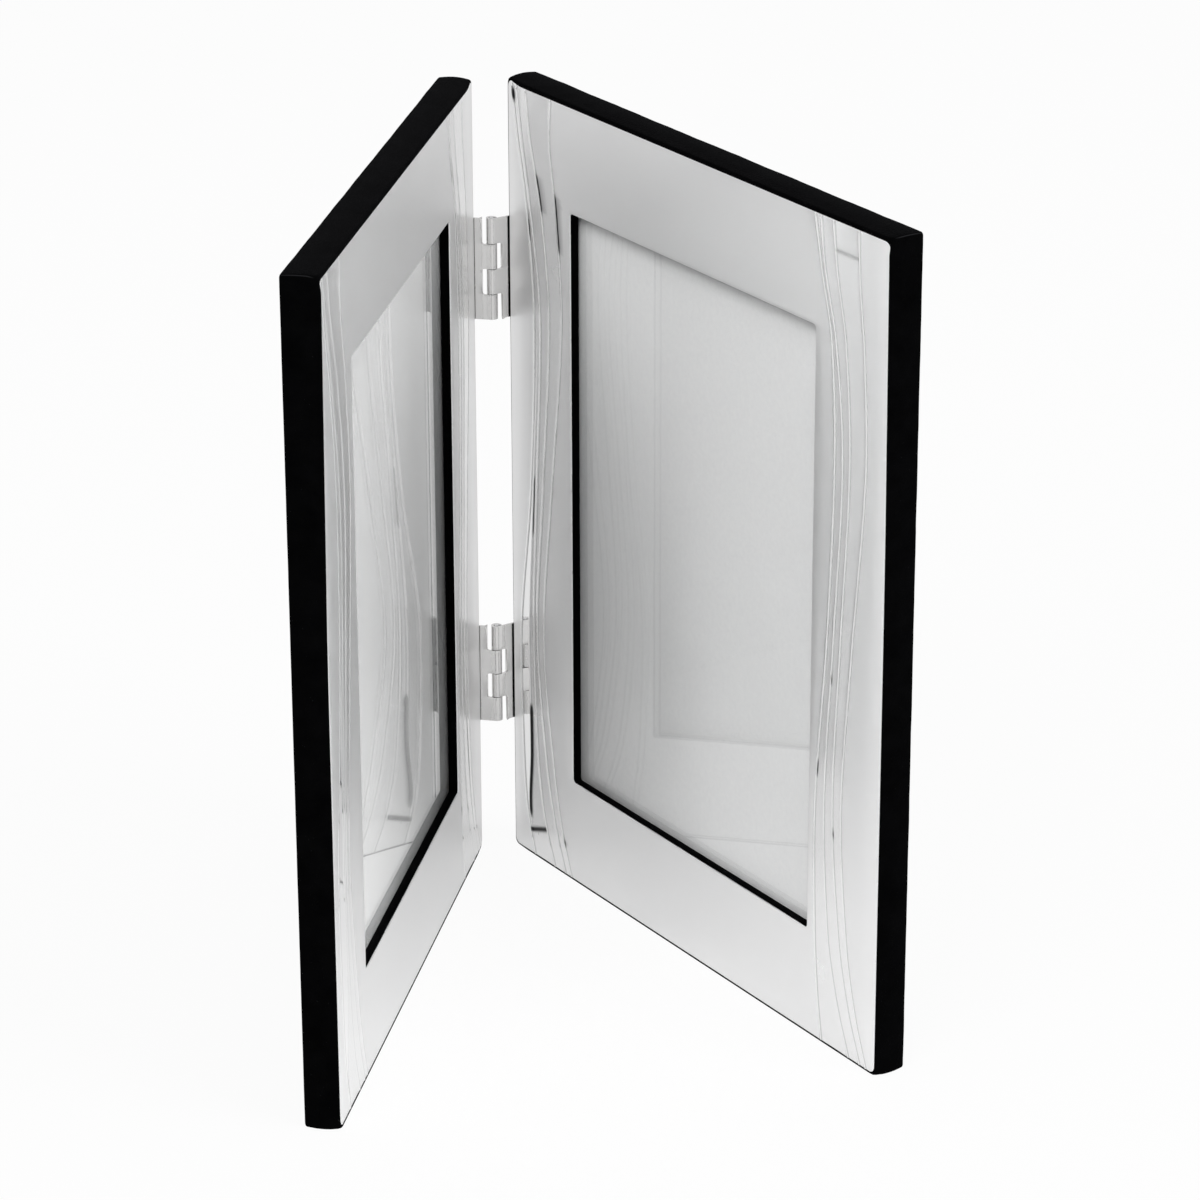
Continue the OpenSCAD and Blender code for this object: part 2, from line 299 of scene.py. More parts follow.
def glass_material():
    made, tree, shader = material("float_glass")
    shader.inputs["Transmission Weight"].default_value = 1.0
    shader.inputs["IOR"].default_value = 1.5
    tint = noise(tree, scale=20.0, detail=2.0)
    tree.links.new(blend_colours(tree, tint, GLASS_TONES), shader.inputs["Base Color"])
    rough = spread(tree, noise(tree, scale=90.0, detail=3.0), *GLASS_ROUGHNESS)
    tree.links.new(rough, shader.inputs["Roughness"])
    # Lets the lamps' light reach the card behind the glass
    seen = node(tree, "ShaderNodeLightPath")
    clear = node(tree, "ShaderNodeBsdfTransparent")
    lit = mixed(tree, seen.outputs["Is Shadow Ray"], shader.outputs["BSDF"], clear.outputs["BSDF"])
    tree.links.new(lit, tree.nodes["Material Output"].inputs["Surface"])
    return made


def card_material():
    made, tree, shader = material("insert_paper")
    fibre = noise(tree, scale=900.0, detail=4.0, roughness=0.6)
    tree.links.new(blend_colours(tree, fibre, CARD_TONES), shader.inputs["Base Color"])
    shader.inputs["Roughness"].default_value = 0.6
    shader.inputs["Specular IOR Level"].default_value = 0.3
    bump(tree, shader, fibre, strength=0.2, distance=0.00005)
    return made


def board_material(name, tones):
    made, tree, shader = material(name)
    fibre = noise(tree, scale=260.0, detail=6.0, roughness=0.65)
    tree.links.new(blend_colours(tree, fibre, tones), shader.inputs["Base Color"])
    shader.inputs["Roughness"].default_value = 0.8
    bump(tree, shader, fibre, strength=0.4, distance=0.0002)
    return made


silver = silver_material()
nickel = metal("bright_nickel", NICKEL_TONES, roughness=(0.07, 0.11), grain=900.0, grain_height=0.00003)
steel = metal("bright_steel", STEEL_TONES, roughness=(0.18, 0.3), grain=1200.0, grain_height=0.00004)
velvet = velvet_material()
clear_glass = glass_material()
paper = card_material()
fibreboard = board_material("raw_fibreboard", FIBREBOARD_TONES)
hardboard = board_material("pressed_hardboard", HARDBOARD_TONES)


# Front plates

# Rows of the wave relief, as shares of the plate's height from its top
WAVE_ROWS = np.array([0, 0.06, 0.14, 0.28, 0.5, 0.7, 0.86, 0.94, 1])
# Wave lines of the left border, as shares of its width from the plate's left edge
LEFT_WAVES = [
    [0.06, 0.14, 0.28, 0.40, 0.33, 0.14, 0.16, 0.215, 0.34],
    [0.13, 0.21, 0.34, 0.50, 0.43, 0.355, 0.41, 0.51, 0.68],
    [0.28, 0.35, 0.52, 0.65, 0.53, 0.415, 0.55, 0.69, 0.86],
    [0.69, 0.67, 0.77, 0.85, 0.67, 0.52, 0.67, 0.80, 0.96]]
# Wave lines of the right border, as shares of its width from the window's right edge
RIGHT_WAVES = [
    [-0.03, 0.06, 0.22, 0.29, 0.22, 0.09, 0.11, 0.16, 0.23],
    [0.05, 0.11, 0.28, 0.40, 0.31, 0.22, 0.30, 0.45, 0.63],
    [0.22, 0.28, 0.42, 0.50, 0.41, 0.34, 0.46, 0.61, 0.79],
    [0.57, 0.59, 0.67, 0.72, 0.57, 0.46, 0.57, 0.71, 0.88]]
# Height of the sheet under each line of a border above the plate's face, at the same rows
LINE_HEIGHTS = [
    [0.00, 0.03, 0.06, 0.08, 0.08, 0.06, 0.05, 0.03, 0.00],
    [0.00, 0.05, 0.09, 0.11, 0.12, 0.12, 0.10, 0.06, 0.02],
    [0.00, 0.06, 0.10, 0.13, 0.13, 0.13, 0.10, 0.06, 0.00],
    [0.00, 0.03, 0.07, 0.08, 0.08, 0.07, 0.05, 0.03, 0.00]]
# Crease beside the left border's first line: place, height, strength and least distance from a line
CREASE = [0.10, 0.18, 0.31, 0.45, 0.37, 0.285, 0.295, 0.262, 0.35]
CREASE_HEIGHT = [0.00, 0.04, 0.075, 0.10, 0.13, 0.24, 0.22, 0.10, 0.00]
CREASE_STRENGTH = [0, 0, 0, 0, 0.6, 1.0, 1.0, 0.8, 0]
CREASE_CLEARANCE = 0.25
# Height and width of a line, which starts below the velvet's lip at the plate's top and rises from there
BEAD, BEAD_WIDTH = 0.13, 0.26
BEAD_START, BEAD_RISE = 0.5, 0.8
# Facet between the left border's first line and its crease: how polished it is, at the same rows; its
# polish also lifts its tone a little, a painted highlight
FACET_POLISH = [0, 0, 0, 0, 0.9, 1.0, 1.0, 1.0, 0]
# Width of the polish on a line, polish of the bands between lines, and the painted shade beside a line:
# its offset, width and strength
POLISH_WIDTH, BAND_POLISH = 0.45, 0.36
PAINTED_SHADE_OFFSET, PAINTED_SHADE_WIDTH, PAINTED_SHADE_STRENGTH = 0.46, 0.17, 0.40
# Stretches on the right panel where the painted shade beside a line deepens to near black, painted dark
# reflections: border, line, rows from and to, and width
PAINTED_REFLECTION_STRETCHES = [("left", 1, 155, 187, 0.6), ("left", 1, 95, 112, 0.2), ("left", 4, 22, 38, 0.3),
                  ("left", 3, 19, 30, 0.3), ("left", 0, 0.3, 5.5, 0.45), ("left", 0, 30.5, 37.5, 0.2),
                  ("left", 4, 186, 189.5, 0.3), ("right", 0, 126, 132, 0.2), ("right", 2, 141, 145, 0.2),
                  ("right", 1, 104, 108, 0.2)]
# How fast these painted dark reflections taper in and out, and how strong they are
STRETCH_TAPER, STRETCH_DEPTH = 2.0, 1.5
# Lines of the right panel stand higher and wider near the plate's top
STREAK, STREAK_SPREAD, STREAK_END = 2.2, 0.7, 10.0
# Depth of the sheet's sag between two lines, for each square of their distance
FLUTE = 0.0005
# Short bars across a band: border, row, slope, the two lines that it joins, height and painted shade
BARS = [("left", 189.9, -0.32, 0, 2, -0.05, 1.8), ("right", 7.2, 0, 2, 3, -0.035, 0.4),
        ("left", 3.4, 0, 3, 4, -0.03, 0)]
BAR_WIDTH, BAR_END = 0.5, 0.3
# Band of the left border that the long bar crosses, and the columns across it
BAR_BAND, BAR_COLUMNS = 2, 9
# Columns beside a line, which draw together where the next line is nearer than their span
LINE_OFFSETS = [-0.8, -0.58, -0.42, -0.28, -0.14, 0, 0.14, 0.28, 0.42, 0.58, 0.8]
LINE_SPAN = 2.2
# Columns between the borders, and the least step between two columns
MIDDLE_COLUMNS, COLUMN_STEP = 26, 0.02
# The relief's ground starts and ends this far past the border, and its lines keep clear of the middle
GROUND_OVER, LINE_CLEARANCE = 1.5, 0.9
# Even rows up the plate, which keep clear of those from a corner's end, round a bar and below the long one
EVEN_ROWS, ROW_CLEARANCE = 190, 0.3
PLATE_ARC_ROWS = [0, 0.05, 0.2, 0.45, 0.8, 1.2, 1.6]
WINDOW_ARC_ROWS = [0, 0.05, 0.2, 0.5, 0.8, 1.2]
BAR_ROWS = [-0.7, -0.45, -0.25, 0, 0.25, 0.45, 0.7]
LONG_BAR_ROWS = [1.0, 1.3, 1.6, 1.9, 2.2, 2.5, 2.8, 3.1]
# Rounded rim of the plate: its width, its polish, and its section as reach outwards and depth
RIM, RIM_POLISH = 0.12, 0.3
RIM_SECTION = [(0.06, 0.016), (0.105, 0.06), (RIM, RIM), (RIM, PLATE_T)]
WINDOW_TOP, WINDOW_BOTTOM = BORDER - RIM, PLATE_H - BORDER + RIM


def wave(values, share):
    """Smooth value of a table of the wave relief, at a share of the plate's height from its top."""
    last = len(values) - 1

    def slope(i):
        low, high = max(i - 1, 0), min(i + 1, last)
        return (values[high] - values[low]) / (WAVE_ROWS[high] - WAVE_ROWS[low])

    i = int(np.clip(np.searchsorted(WAVE_ROWS, share, side="right") - 1, 0, last - 1))
    span = WAVE_ROWS[i + 1] - WAVE_ROWS[i]
    t = (share - WAVE_ROWS[i]) / span
    return float(values[i] * (1 + 2 * t) * (1 - t) ** 2 + values[i + 1] * t * t * (3 - 2 * t)
                 + span * (slope(i) * t * (1 - t) ** 2 - slope(i + 1) * t * t * (1 - t)))


def bar_share(x, down, row, slope, low, high):
    """How much of a short bar there is at places x of a row, between two lines."""
    across = np.clip((x - low) / BAR_END, 0, 1) * np.clip((high - x) / BAR_END, 0, 1)
    return across * np.exp(-((down - row - slope * (x - low)) / BAR_WIDTH) ** 2)


def border_relief(border, x, down, knots, heights, strengths, marked):
    """Height of the sheet across one border, at places x, between knots with the given heights."""
    height = np.interp(x, knots, heights)
    for low, high in zip(knots[1:-2], knots[2:-1]):
        t = np.clip((x - low) / (high - low), 0, 1)
        height = height - FLUTE * (high - low) ** 2 * 4 * t * (1 - t)
    top = max(0, 1 - down / STREAK_END) * marked
    risen = min(max((down - BEAD_START) / BEAD_RISE, 0), 1)
    width = BEAD_WIDTH * (1 + STREAK_SPREAD * top)
    for line, strength in zip(knots[1:-1], strengths):
        bead = risen * BEAD * (1 + STREAK * top) * strength
        height = height + bead * np.exp(-((x - line) / width) ** 2)
    for side, row, slope, first, last, tall, _ in BARS:
        if side == border:
            height = height + tall * bar_share(x, down, row, slope, knots[first + 1], knots[last + 1])
    return height


def border_finish(border, x, down, lines, strengths, facet, marked):
    """Polish, which also lifts the tone as a painted highlight, and painted shade across one border, at
    places x: strengths say how strong each line is there.
    """
    polish = np.where((x > lines[0]) & (x < lines[-1]), BAND_POLISH, 0.0)
    polish = np.where((x > lines[0]) & (x < lines[1]), np.maximum(polish, facet), polish)
    painted_shade = np.zeros(len(x))
    shine = POLISH_WIDTH * (1 + STREAK_SPREAD * max(0, 1 - down / STREAK_END) * marked)
    for i, (line, strength) in enumerate(zip(lines, strengths)):
        polish = np.maximum(polish, strength * np.exp(-((x - line) / shine) ** 2))
        depth, width = PAINTED_SHADE_STRENGTH * strength, PAINTED_SHADE_WIDTH
        # Painted dark reflections: some stretches of the right panel go near black
        for side, which, first, last, wide in PAINTED_REFLECTION_STRETCHES:
            if marked and side == border and which == i and first < down < last:
                taper = min(1, (down - first) / STRETCH_TAPER, (last - down) / STRETCH_TAPER)
                depth, width = max(depth, STRETCH_DEPTH * taper), width + (wide - width) * taper
        # Painted shade and dark reflection beside each line
        painted_shade = np.maximum(painted_shade, depth * np.exp(-((x - line - PAINTED_SHADE_OFFSET) / width) ** 2))
    # Painted shade along the short bars
    for side, row, slope, first, last, _, depth in BARS:
        if marked and side == border:
            share = bar_share(x, down, row, slope, lines[first], lines[last])
            painted_shade = np.maximum(painted_shade, depth * share)
    return polish, np.minimum(painted_shade, 1)


def spaced_row(places, low, high):
    """Keeps a row of places inside low to high and in order, with a small step between them."""
    row = np.clip(places, low, high)
    for i in range(1, len(row)):
        row[i] = max(row[i], row[i - 1] + COLUMN_STEP)
    for i in range(len(row) - 2, -1, -1):
        row[i] = min(row[i], row[i + 1] - COLUMN_STEP)
    return row


def arc_inset(radius, distance):
    """How far a rounded corner draws an edge in, at a distance from the corner's end."""
    inside = np.clip(radius - distance, 0, radius)
    return radius - math.sqrt(max(radius * radius - inside * inside, 0))


def plate_rows():
    """Places up the plate, from top to bottom, closer together at rounded corners and at bars."""
    marks = [RIM + a for a in PLATE_ARC_ROWS] + [PLATE_H - RIM - a for a in PLATE_ARC_ROWS]
    for end, side in ((WINDOW_TOP, 1), (WINDOW_BOTTOM, -1)):
        marks += [end + side * a for a in WINDOW_ARC_ROWS]
    marks += [bar[1] + a for bar in BARS for a in BAR_ROWS]
    marks += [BARS[0][1] - a for a in LONG_BAR_ROWS]
    kept = [r for r in np.linspace(0, PLATE_H, EVEN_ROWS)
            if RIM < r < PLATE_H - RIM and min(abs(r - m) for m in marks) > ROW_CLEARANCE]
    return np.array(sorted(set(round(r, 4) for r in kept + marks)))


def border_columns(chain, barred):
    """Places across a border, from a chain of its ends and lines, with more in a barred band."""
    reach = LINE_OFFSETS[-1]
    places = [chain[0]]
    for i, (before, here, after) in enumerate(zip(chain, chain[1:], chain[2:])):
        clear = reach * min(1, (here - before) / LINE_SPAN)
        start, end = before + clear, here - clear
        count = BAR_COLUMNS if i == barred else 1
        places += [start + (end - start) * k / (count + 1) for k in range(1, count + 1)]
        below, above = min(1, (here - before) / LINE_SPAN), min(1, (after - here) / LINE_SPAN)
        places += [here + offset * (below if offset < 0 else above) for offset in LINE_OFFSETS]
    return np.array(places + [(chain[-2] + chain[-1]) / 2, chain[-1]])


def plate_row(down, marked):
    """Places across a row of the plate, their height, polish and hollow, and the window's two ends."""
    share = down / PLATE_H
    left = [BORDER * wave(values, share) for values in LEFT_WAVES]
    crease = max(BORDER * wave(CREASE, share), left[0] + CREASE_CLEARANCE)
    left.insert(1, min(crease, left[1] - CREASE_CLEARANCE))
    right = [PLATE_W - BORDER + BORDER * wave(values, share) for values in RIGHT_WAVES]
    low = RIM + arc_inset(PLATE_CORNER - RIM, min(down - RIM, PLATE_H - RIM - down))
    high = PLATE_W - low
    edge_left, edge_right = BORDER - RIM, PLATE_W - BORDER + RIM
    if WINDOW_TOP <= down <= WINDOW_BOTTOM:
        inset = arc_inset(WINDOW_CORNER + RIM, min(down - WINDOW_TOP, WINDOW_BOTTOM - down))
        edge_left, edge_right = edge_left + inset, edge_right - inset
    else:
        edge_left = max(edge_left, left[-1] + LINE_CLEARANCE)
        edge_right = min(edge_right, right[0] - LINE_CLEARANCE)
    on_left = spaced_row(border_columns([low] + left + [edge_left], BAR_BAND), low, edge_left)
    on_right = spaced_row(border_columns([edge_right] + right + [high], None), edge_right, high)
    middle = np.linspace(edge_left, edge_right, MIDDLE_COLUMNS)[1:-1]
    columns = np.concatenate([on_left, middle, on_right])
    levels = [wave(values, share) for values in LINE_HEIGHTS]
    left_levels = levels[:1] + [wave(CREASE_HEIGHT, share)] + levels[1:]
    left_strengths = [1, max(wave(CREASE_STRENGTH, share), 0), 1, 1, 1]
    left_knots = [0] + left + [BORDER + GROUND_OVER]
    right_knots = [PLATE_W - BORDER - GROUND_OVER] + right + [PLATE_W]
    facet = max(wave(FACET_POLISH, share), 0)
    sides = []
    for border, lines, knots, heights, strengths, shine in (
            ("left", left, left_knots, left_levels, left_strengths, facet),
            ("right", right, right_knots, levels, [1] * len(right), 0)):
        relief = border_relief(border, columns, down, knots, [0] + heights + [0], strengths, marked)
        sides.append((relief, *border_finish(border, columns, down, lines, strengths, shine, marked)))
    values = [np.where(columns < PLATE_W / 2, a, b) for a, b in zip(*sides)]
    return columns, values, len(on_left) - 1, len(on_left) + len(middle)


def plate_rim(points, faces, loop, sign):
    """Rounds the plate's face along a loop of its points, down to its back, and gives the last ring."""
    flat = np.array([[points[i][0], points[i][2]] for i in loop])
    along = np.roll(flat, -1, 0) - np.roll(flat, 1, 0)
    along /= np.linalg.norm(along, axis=1)[:, None] + 1e-9
    outwards = np.stack([-along[:, 1], along[:, 0]], axis=1) * sign
    rings = [loop]
    for reach, depth in RIM_SECTION:
        ring = []
        for i, spot, way in zip(loop, flat, outwards):
            y = min(points[i][1] + depth, PLATE_T) if depth < PLATE_T else PLATE_T
            ring.append(len(points))
            points.append(np.array([spot[0] + way[0] * reach, y, spot[1] + way[1] * reach]))
        rings.append(ring)
    for a, b in zip(rings, rings[1:]):
        faces += band(a, b) if sign > 0 else [tuple(reversed(f)) for f in band(a, b)]
    return rings[-1]


def front_plate(panel):
    """Plate with its relief, in its own coordinates first: from its left edge, and down from its top."""
    rows = plate_rows()
    grid, heights, polish, painted_shade = [], [], [], []
    for down in rows:
        columns, values, i_left, i_right = plate_row(down, marked=not panel.mirrored)
        grid.append(columns)
        for kept, value in zip((heights, polish, painted_shade), values):
            kept.append(value)
    count, last = len(grid[0]), len(rows) - 1
    points = [np.array((x, -h, PLATE_H - down))
              for row, h_row, down in zip(grid, heights, rows) for x, h in zip(row, h_row)]
    top = int(np.argmin(abs(rows - WINDOW_TOP)))
    bottom = int(np.argmin(abs(rows - WINDOW_BOTTOM)))
    faces = []
    for r in range(last):
        for c in range(count - 1):
            if not (top <= r < bottom and i_left <= c < i_right):
                a = r * count + c
                faces.append((a, a + count, a + count + 1, a + 1))

    def loop(first_row, last_row, first, end):
        """Point numbers round a part of the grid, from its first row's first column."""
        return ([first_row * count + c for c in range(first, end + 1)]
                + [r * count + end for r in range(first_row + 1, last_row + 1)]
                + [last_row * count + c for c in range(end - 1, first - 1, -1)]
                + [r * count + first for r in range(last_row - 1, first_row, -1)])

    on_grid = len(points)
    loops = [plate_rim(points, faces, loop(0, last, 0, count - 1), 1),
             plate_rim(points, faces, loop(top, bottom, i_left, i_right), -1)]
    flat_loops = [[Vector((points[i][0], points[i][2], 0)) for i in ring] for ring in loops]
    ids = loops[0] + loops[1]
    faces += [tuple(ids[i] for i in corners) for corners in tessellate_polygon(flat_loops)]
    points = np.array(points)
    around = len(points) - on_grid
    # Polish per point, which also lifts the tone a little as a painted highlight
    polish_and_highlight_values = np.concatenate([np.array(polish).reshape(-1), np.full(around, RIM_POLISH)])
    # Painted shade and dark reflections per point
    painted_shade_values = np.concatenate([np.array(painted_shade).reshape(-1), np.zeros(around)])
    keep = sorted(set(i for f in faces for i in f))
    index = {old: new for new, old in enumerate(keep)}
    faces = [tuple(index[i] for i in f) for f in faces]
    points = points[keep]
    # Both plates are alike, while the left panel is the right one's mirror image
    across = PLATE_W - points[:, 0] if panel.mirrored else points[:, 0]
    points = np.stack([across + PROUD, points[:, 1], points[:, 2] + PROUD], axis=1)
    piece = new_mesh(f"{panel.name}_front_plate_piece", panel.place(points), faces, silver)
    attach(piece, panel.body)
    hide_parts(f"{panel.name}_front_plate")
    fix_normals(piece)
    store(piece, "polish", polish_and_highlight_values[keep])
    store(piece, "painted_shade", painted_shade_values[keep])


# Velvet covering

VELVET_T = 0.5
BACK_ROUND = 0.6
# Front lip of the velvet: how far it rises before the plate's top and bottom, where the rise begins,
# how far it reaches over the plate's top edge, and the share of its rise that it loses there
LIP_RISE, LIP_LOW_RISE, LIP_START, LIP_COVER, LIP_LOSS = 0.85, 0.25, 105.0, 0.7, 0.5
# Width from the hinge side over which the lip grows, and where and over which height it changes at the
# body's top and bottom
LIP_HINGE_WAY, LIP_END, LIP_END_WAY = 6.0, 3.0, 2.0
# Steps across the back rim, round its edge and over the outer side
BACK_STEPS, ROUND_STEPS, SIDE_STEPS = 8, 4, 6
# Swelling of the outer side, and height, length and seed of its two kinds of lumps
BELLY, LUMPS = 0.32, [(0.07, 23.0, 1.0), (0.04, 7.0, 2.0)]
# Ways that the unevenness runs, its turn, and how much tighter and further on each next one is
UNEVEN_WAYS = [(1.0, 0.31, 0.17), (0.23, 1.0, 0.61), (0.41, 0.53, 1.0), (0.77, 0.19, 0.67)]
UNEVEN_TURN, UNEVEN_TIGHTER, UNEVEN_ON = 6.283, 0.37, 1.7
# Share of the way out at which a point is on an outer side
ON_SIDE = 0.97
# A painted sheen makes the nap pale along the edge between the outer side and the top, which is this point
# of a ring
SHEEN_POINT, SHEEN_AMOUNT, SHEEN_UNEVEN, SHEEN_LENGTH, SHEEN_SEED = 3, 0.6, 0.4, 9.0, 4.0


def rounded_loop(width, height, radius, sides=(90, 120), arc=6):
    """Points round a rectangle with rounded corners, centred on the panel, as rows of x and z."""
    a, b = width / 2 - radius, height / 2 - radius
    points = []
    for (cx, cz, start), (n, dx, dz) in zip(
            ((a, b, 0), (-a, b, 90), (-a, -b, 180), (a, -b, 270)),
            ((sides[0], -1, 0), (sides[1], 0, -1), (sides[0], 1, 0), (sides[1], 0, 1))):
        for k in range(arc + 1):
            angle = math.radians(start + 90 * k / arc)
            points.append((cx + radius * math.cos(angle), cz + radius * math.sin(angle)))
        length = 2 * (a if dx else b)
        x, z = points[-1]
        for k in range(1, n):
            points.append((x + dx * length * k / n, z + dz * length * k / n))
    return np.array(points) + np.array([BODY_W / 2, BODY_H / 2])


def uneven(x, y, z, size, seed):
    """Smooth uneven value between about -1 and 1, the same each time."""
    total = 0
    for k, (a, b, c) in enumerate(UNEVEN_WAYS):
        turned = (a * x + b * y + c * z) * UNEVEN_TURN / size * (1 + UNEVEN_TIGHTER * k)
        total = total + np.sin(turned + seed + UNEVEN_ON * k)
    return total / len(UNEVEN_WAYS)


def velvet_section():
    """Section of the covering: outer side, front lip with shares of its rise and reach, and inner side.

    Each ring is a rectangle, its growth, its depth and its corner radius.
    """
    window, rabbet, body = (WINDOW_W, WINDOW_H), (RABBET_W, RABBET_H), (BODY_W, BODY_H)
    r, t = BACK_ROUND, VELVET_T
    window_edge = [(-0.02, 0.30), (-0.06, 0.16), (-0.12, 0.22), (-0.14, 0.45), (-0.14, 1.2),
                   (-0.12, 2.1), (0.0, RECESS)]
    outside = [(window, grow, depth, WINDOW_CORNER) for grow, depth in window_edge]
    outside += [(rabbet, -0.3, RECESS, 0.5), (rabbet, 0.0, RECESS + 0.3, 0.5), (rabbet, 0.0, 4.5, 0.5),
                (rabbet, 0.0, BODY_D - 0.5, 0.5), (rabbet, 0.15, BODY_D - 0.15, 0.6),
                (rabbet, 0.5, BODY_D, 0.8)]
    for k in range(1, BACK_STEPS):
        grow = k / BACK_STEPS
        width = RABBET_W + (BODY_W - 2 * r - RABBET_W) * grow
        height = RABBET_H + (BODY_H - 2 * r - RABBET_H) * grow
        outside.append(((width, height), 0.0, BODY_D, 1.0))
    for k in range(ROUND_STEPS + 1):
        angle = math.radians(90 * k / ROUND_STEPS)
        outside.append((body, -r + r * math.sin(angle), BODY_D - r + r * math.cos(angle), 0.6))
    for k in range(1, SIDE_STEPS):
        depth = BODY_D - r + (PLATE_T + 0.5 - BODY_D + r) * k / SIDE_STEPS
        outside.append((body, 0.0, depth, 0.7))
    lip = [((body, 0.0, PLATE_T + 0.1, 0.9), 0, 0), ((body, -0.06, 0.32, 1.2), 0.6, 0),
           ((body, -0.22, 0.14, 1.5), 1, 0), ((body, -0.38, 0.18, 1.7), 1, 1),
           ((body, -0.47, 0.32, 1.9), 1, 1), ((body, -0.475, 0.42, 1.9), 1.15, 1),
           ((body, -0.478, 0.46, 1.9), 1.15, 0), ((body, -0.48, PLATE_T + 0.02, 1.9), 0, 0),
           ((body, -t, PLATE_T + 0.02, 1.9), 0, 0)]
    inside = [(body, -t, BODY_D - r, 1.2), (body, -r, BODY_D - t, 0.8), (rabbet, t, BODY_D - t, 0.8),
              (rabbet, t, RECESS - t, 0.8), (window, t, RECESS - t, WINDOW_CORNER + t),
              (window, t, PLATE_T + 0.05, WINDOW_CORNER + t)]
    return outside, lip, inside


def velvet_wrap(panel):
    outside, lip, inside = velvet_section()
    section = outside + [ring for ring, _, _ in lip] + inside
    loops = []
    for (w, h), grow, depth, radius in section:
        flat = rounded_loop(w + 2 * grow, h + 2 * grow, radius)
        loops.append(np.stack([flat[:, 0], np.full(len(flat), depth), flat[:, 1]], axis=1))
    shape = np.array(loops)
    for ring, (_, rise, reach) in enumerate(lip, len(outside)):
        x, z = shape[ring, :, 0], shape[ring, :, 2].copy()
        away_from_hinge = np.clip(x / LIP_HINGE_WAY, 0, 1)
        top = np.clip((z - BODY_H + LIP_END) / LIP_END_WAY, 0, 1)
        high = np.clip((z - LIP_START) / (BODY_H - LIP_START), 0, 1) * (1 - LIP_LOSS * top)
        low = np.clip((LIP_END - z) / LIP_END_WAY, 0, 1)
        shape[ring, :, 1] -= rise * (LIP_RISE * high + LIP_LOW_RISE * low) * away_from_hinge
        shape[ring, :, 2] -= reach * LIP_COVER * top * away_from_hinge
    on_side = np.array([float(size == (BODY_W, BODY_H) and PLATE_T + 0.1 < depth < BODY_D)
                        for size, _, depth, _ in section])
    on_side[len(outside):] = 0
    away = shape - np.array([BODY_W / 2, 0, BODY_H / 2])
    x, y, z = shape[..., 0], shape[..., 1], shape[..., 2]
    lumps = sum(height * uneven(x, y, z, length, seed) for height, length, seed in LUMPS)
    belly = np.sin(np.pi * np.clip((y - PLATE_T) / (BODY_D - PLATE_T), 0, 1)) * BELLY
    push = (belly + lumps) * on_side[:, None]
    for axis, half in ((0, BODY_W / 2), (2, BODY_H / 2)):
        outer = np.abs(away[..., axis]) / half > ON_SIDE
        shape[..., axis] += np.where(outer, np.sign(away[..., axis]) * push, 0)
    shape[..., 2] = np.maximum(shape[..., 2], 0.0)
    numbers, faces = stack(shape)
    faces += band(numbers[-1], numbers[0])
    piece = panel_piece(panel, f"{panel.name}_velvet_wrap", shape.reshape(-1, 3), faces, velvet)
    fix_normals(piece)
    # Painted sheen along the edge between the outer side and the top
    painted_sheen = np.zeros(shape.shape[:2])
    sheen_noise = uneven(x[:, SHEEN_POINT], y[:, SHEEN_POINT], z[:, SHEEN_POINT], SHEEN_LENGTH, SHEEN_SEED)
    painted_sheen[:, SHEEN_POINT] = on_side * (SHEEN_AMOUNT + SHEEN_UNEVEN * sheen_noise)
    store(piece, "painted_sheen", painted_sheen.reshape(-1))


# Glass, card and back

# Rounding of an edge and of a corner
GLASS_EDGE, GLASS_CORNER = 0.2, 0.6
CARD_EDGE, CARD_CORNER = 0.05, 0.3
# Share of an edge's rounding that is left half way round, and the least rounding of a corner
EDGE_MIDDLE, LEAST_CORNER = 0.3, 0.05
# Steps along a slab's sides and round its corners
SLAB_SIDES, SLAB_ARC = (12, 16), 4
# Air between the glass and the card
CARD_GAP = 0.02


def slab(width, height, front, thickness, edge, corner):
    """Upright slab round the panel's middle, with rounded edges, as points and faces."""
    rings, middle = [], edge * EDGE_MIDDLE
    for inset, depth in ((edge, 0), (middle, middle), (0, edge), (0, thickness - edge),
                         (middle, thickness - middle), (edge, thickness)):
        radius = max(corner - inset, LEAST_CORNER)
        flat = rounded_loop(width - 2 * inset, height - 2 * inset, radius, SLAB_SIDES, SLAB_ARC)
        rings.append(np.stack([flat[:, 0], np.full(len(flat), front + depth), flat[:, 1]], axis=1))
    numbers, faces = stack(rings)
    faces += [tuple(numbers[0]), tuple(reversed(numbers[-1]))]
    return np.concatenate(rings), faces


def flat_piece(panel, name, width, height, front, thickness, edge, corner, finish):
    points, faces = slab(width, height, front, thickness, edge, corner)
    piece = panel_piece(panel, f"{panel.name}_{name}", points, faces, finish, smooth=False)
    fix_normals(piece)
    return piece


def glazing(panel):
    flat_piece(panel, "glass", PANE_W, PANE_H, RECESS, GLASS_T, GLASS_EDGE, GLASS_CORNER,
               clear_glass)
    flat_piece(panel, "insert_card", PHOTO_W, PHOTO_H, RECESS + GLASS_T + CARD_GAP, CARD_T - CARD_GAP,
               CARD_EDGE, CARD_CORNER, paper)
    back = RECESS + GLASS_T + CARD_T + BOARD_T
    skin = flat_piece(panel, "backing_velvet", PANE_W, PANE_H, back, VELVET_T, GLASS_EDGE, GLASS_CORNER,
                      velvet)


# Hinges

HINGE_H, HINGE_INSET = 25.0, 46.5
BARREL_R, PIN_R, LEAF_T = 1.3, 0.55, 0.65
PIN_FORWARD, NOTCH_EDGE, LEAF_END = 3.9, 2.25, 6.6
KNUCKLES, KNUCKLE_GAP = 4, 0.15
# Angle of a knuckle's roll in degrees, and steps along the leaf, up to its notch and round the roll
ROLL, LEAF_STEPS, NECK_STEPS, ROLL_STEPS = 292, 12, 6, 32
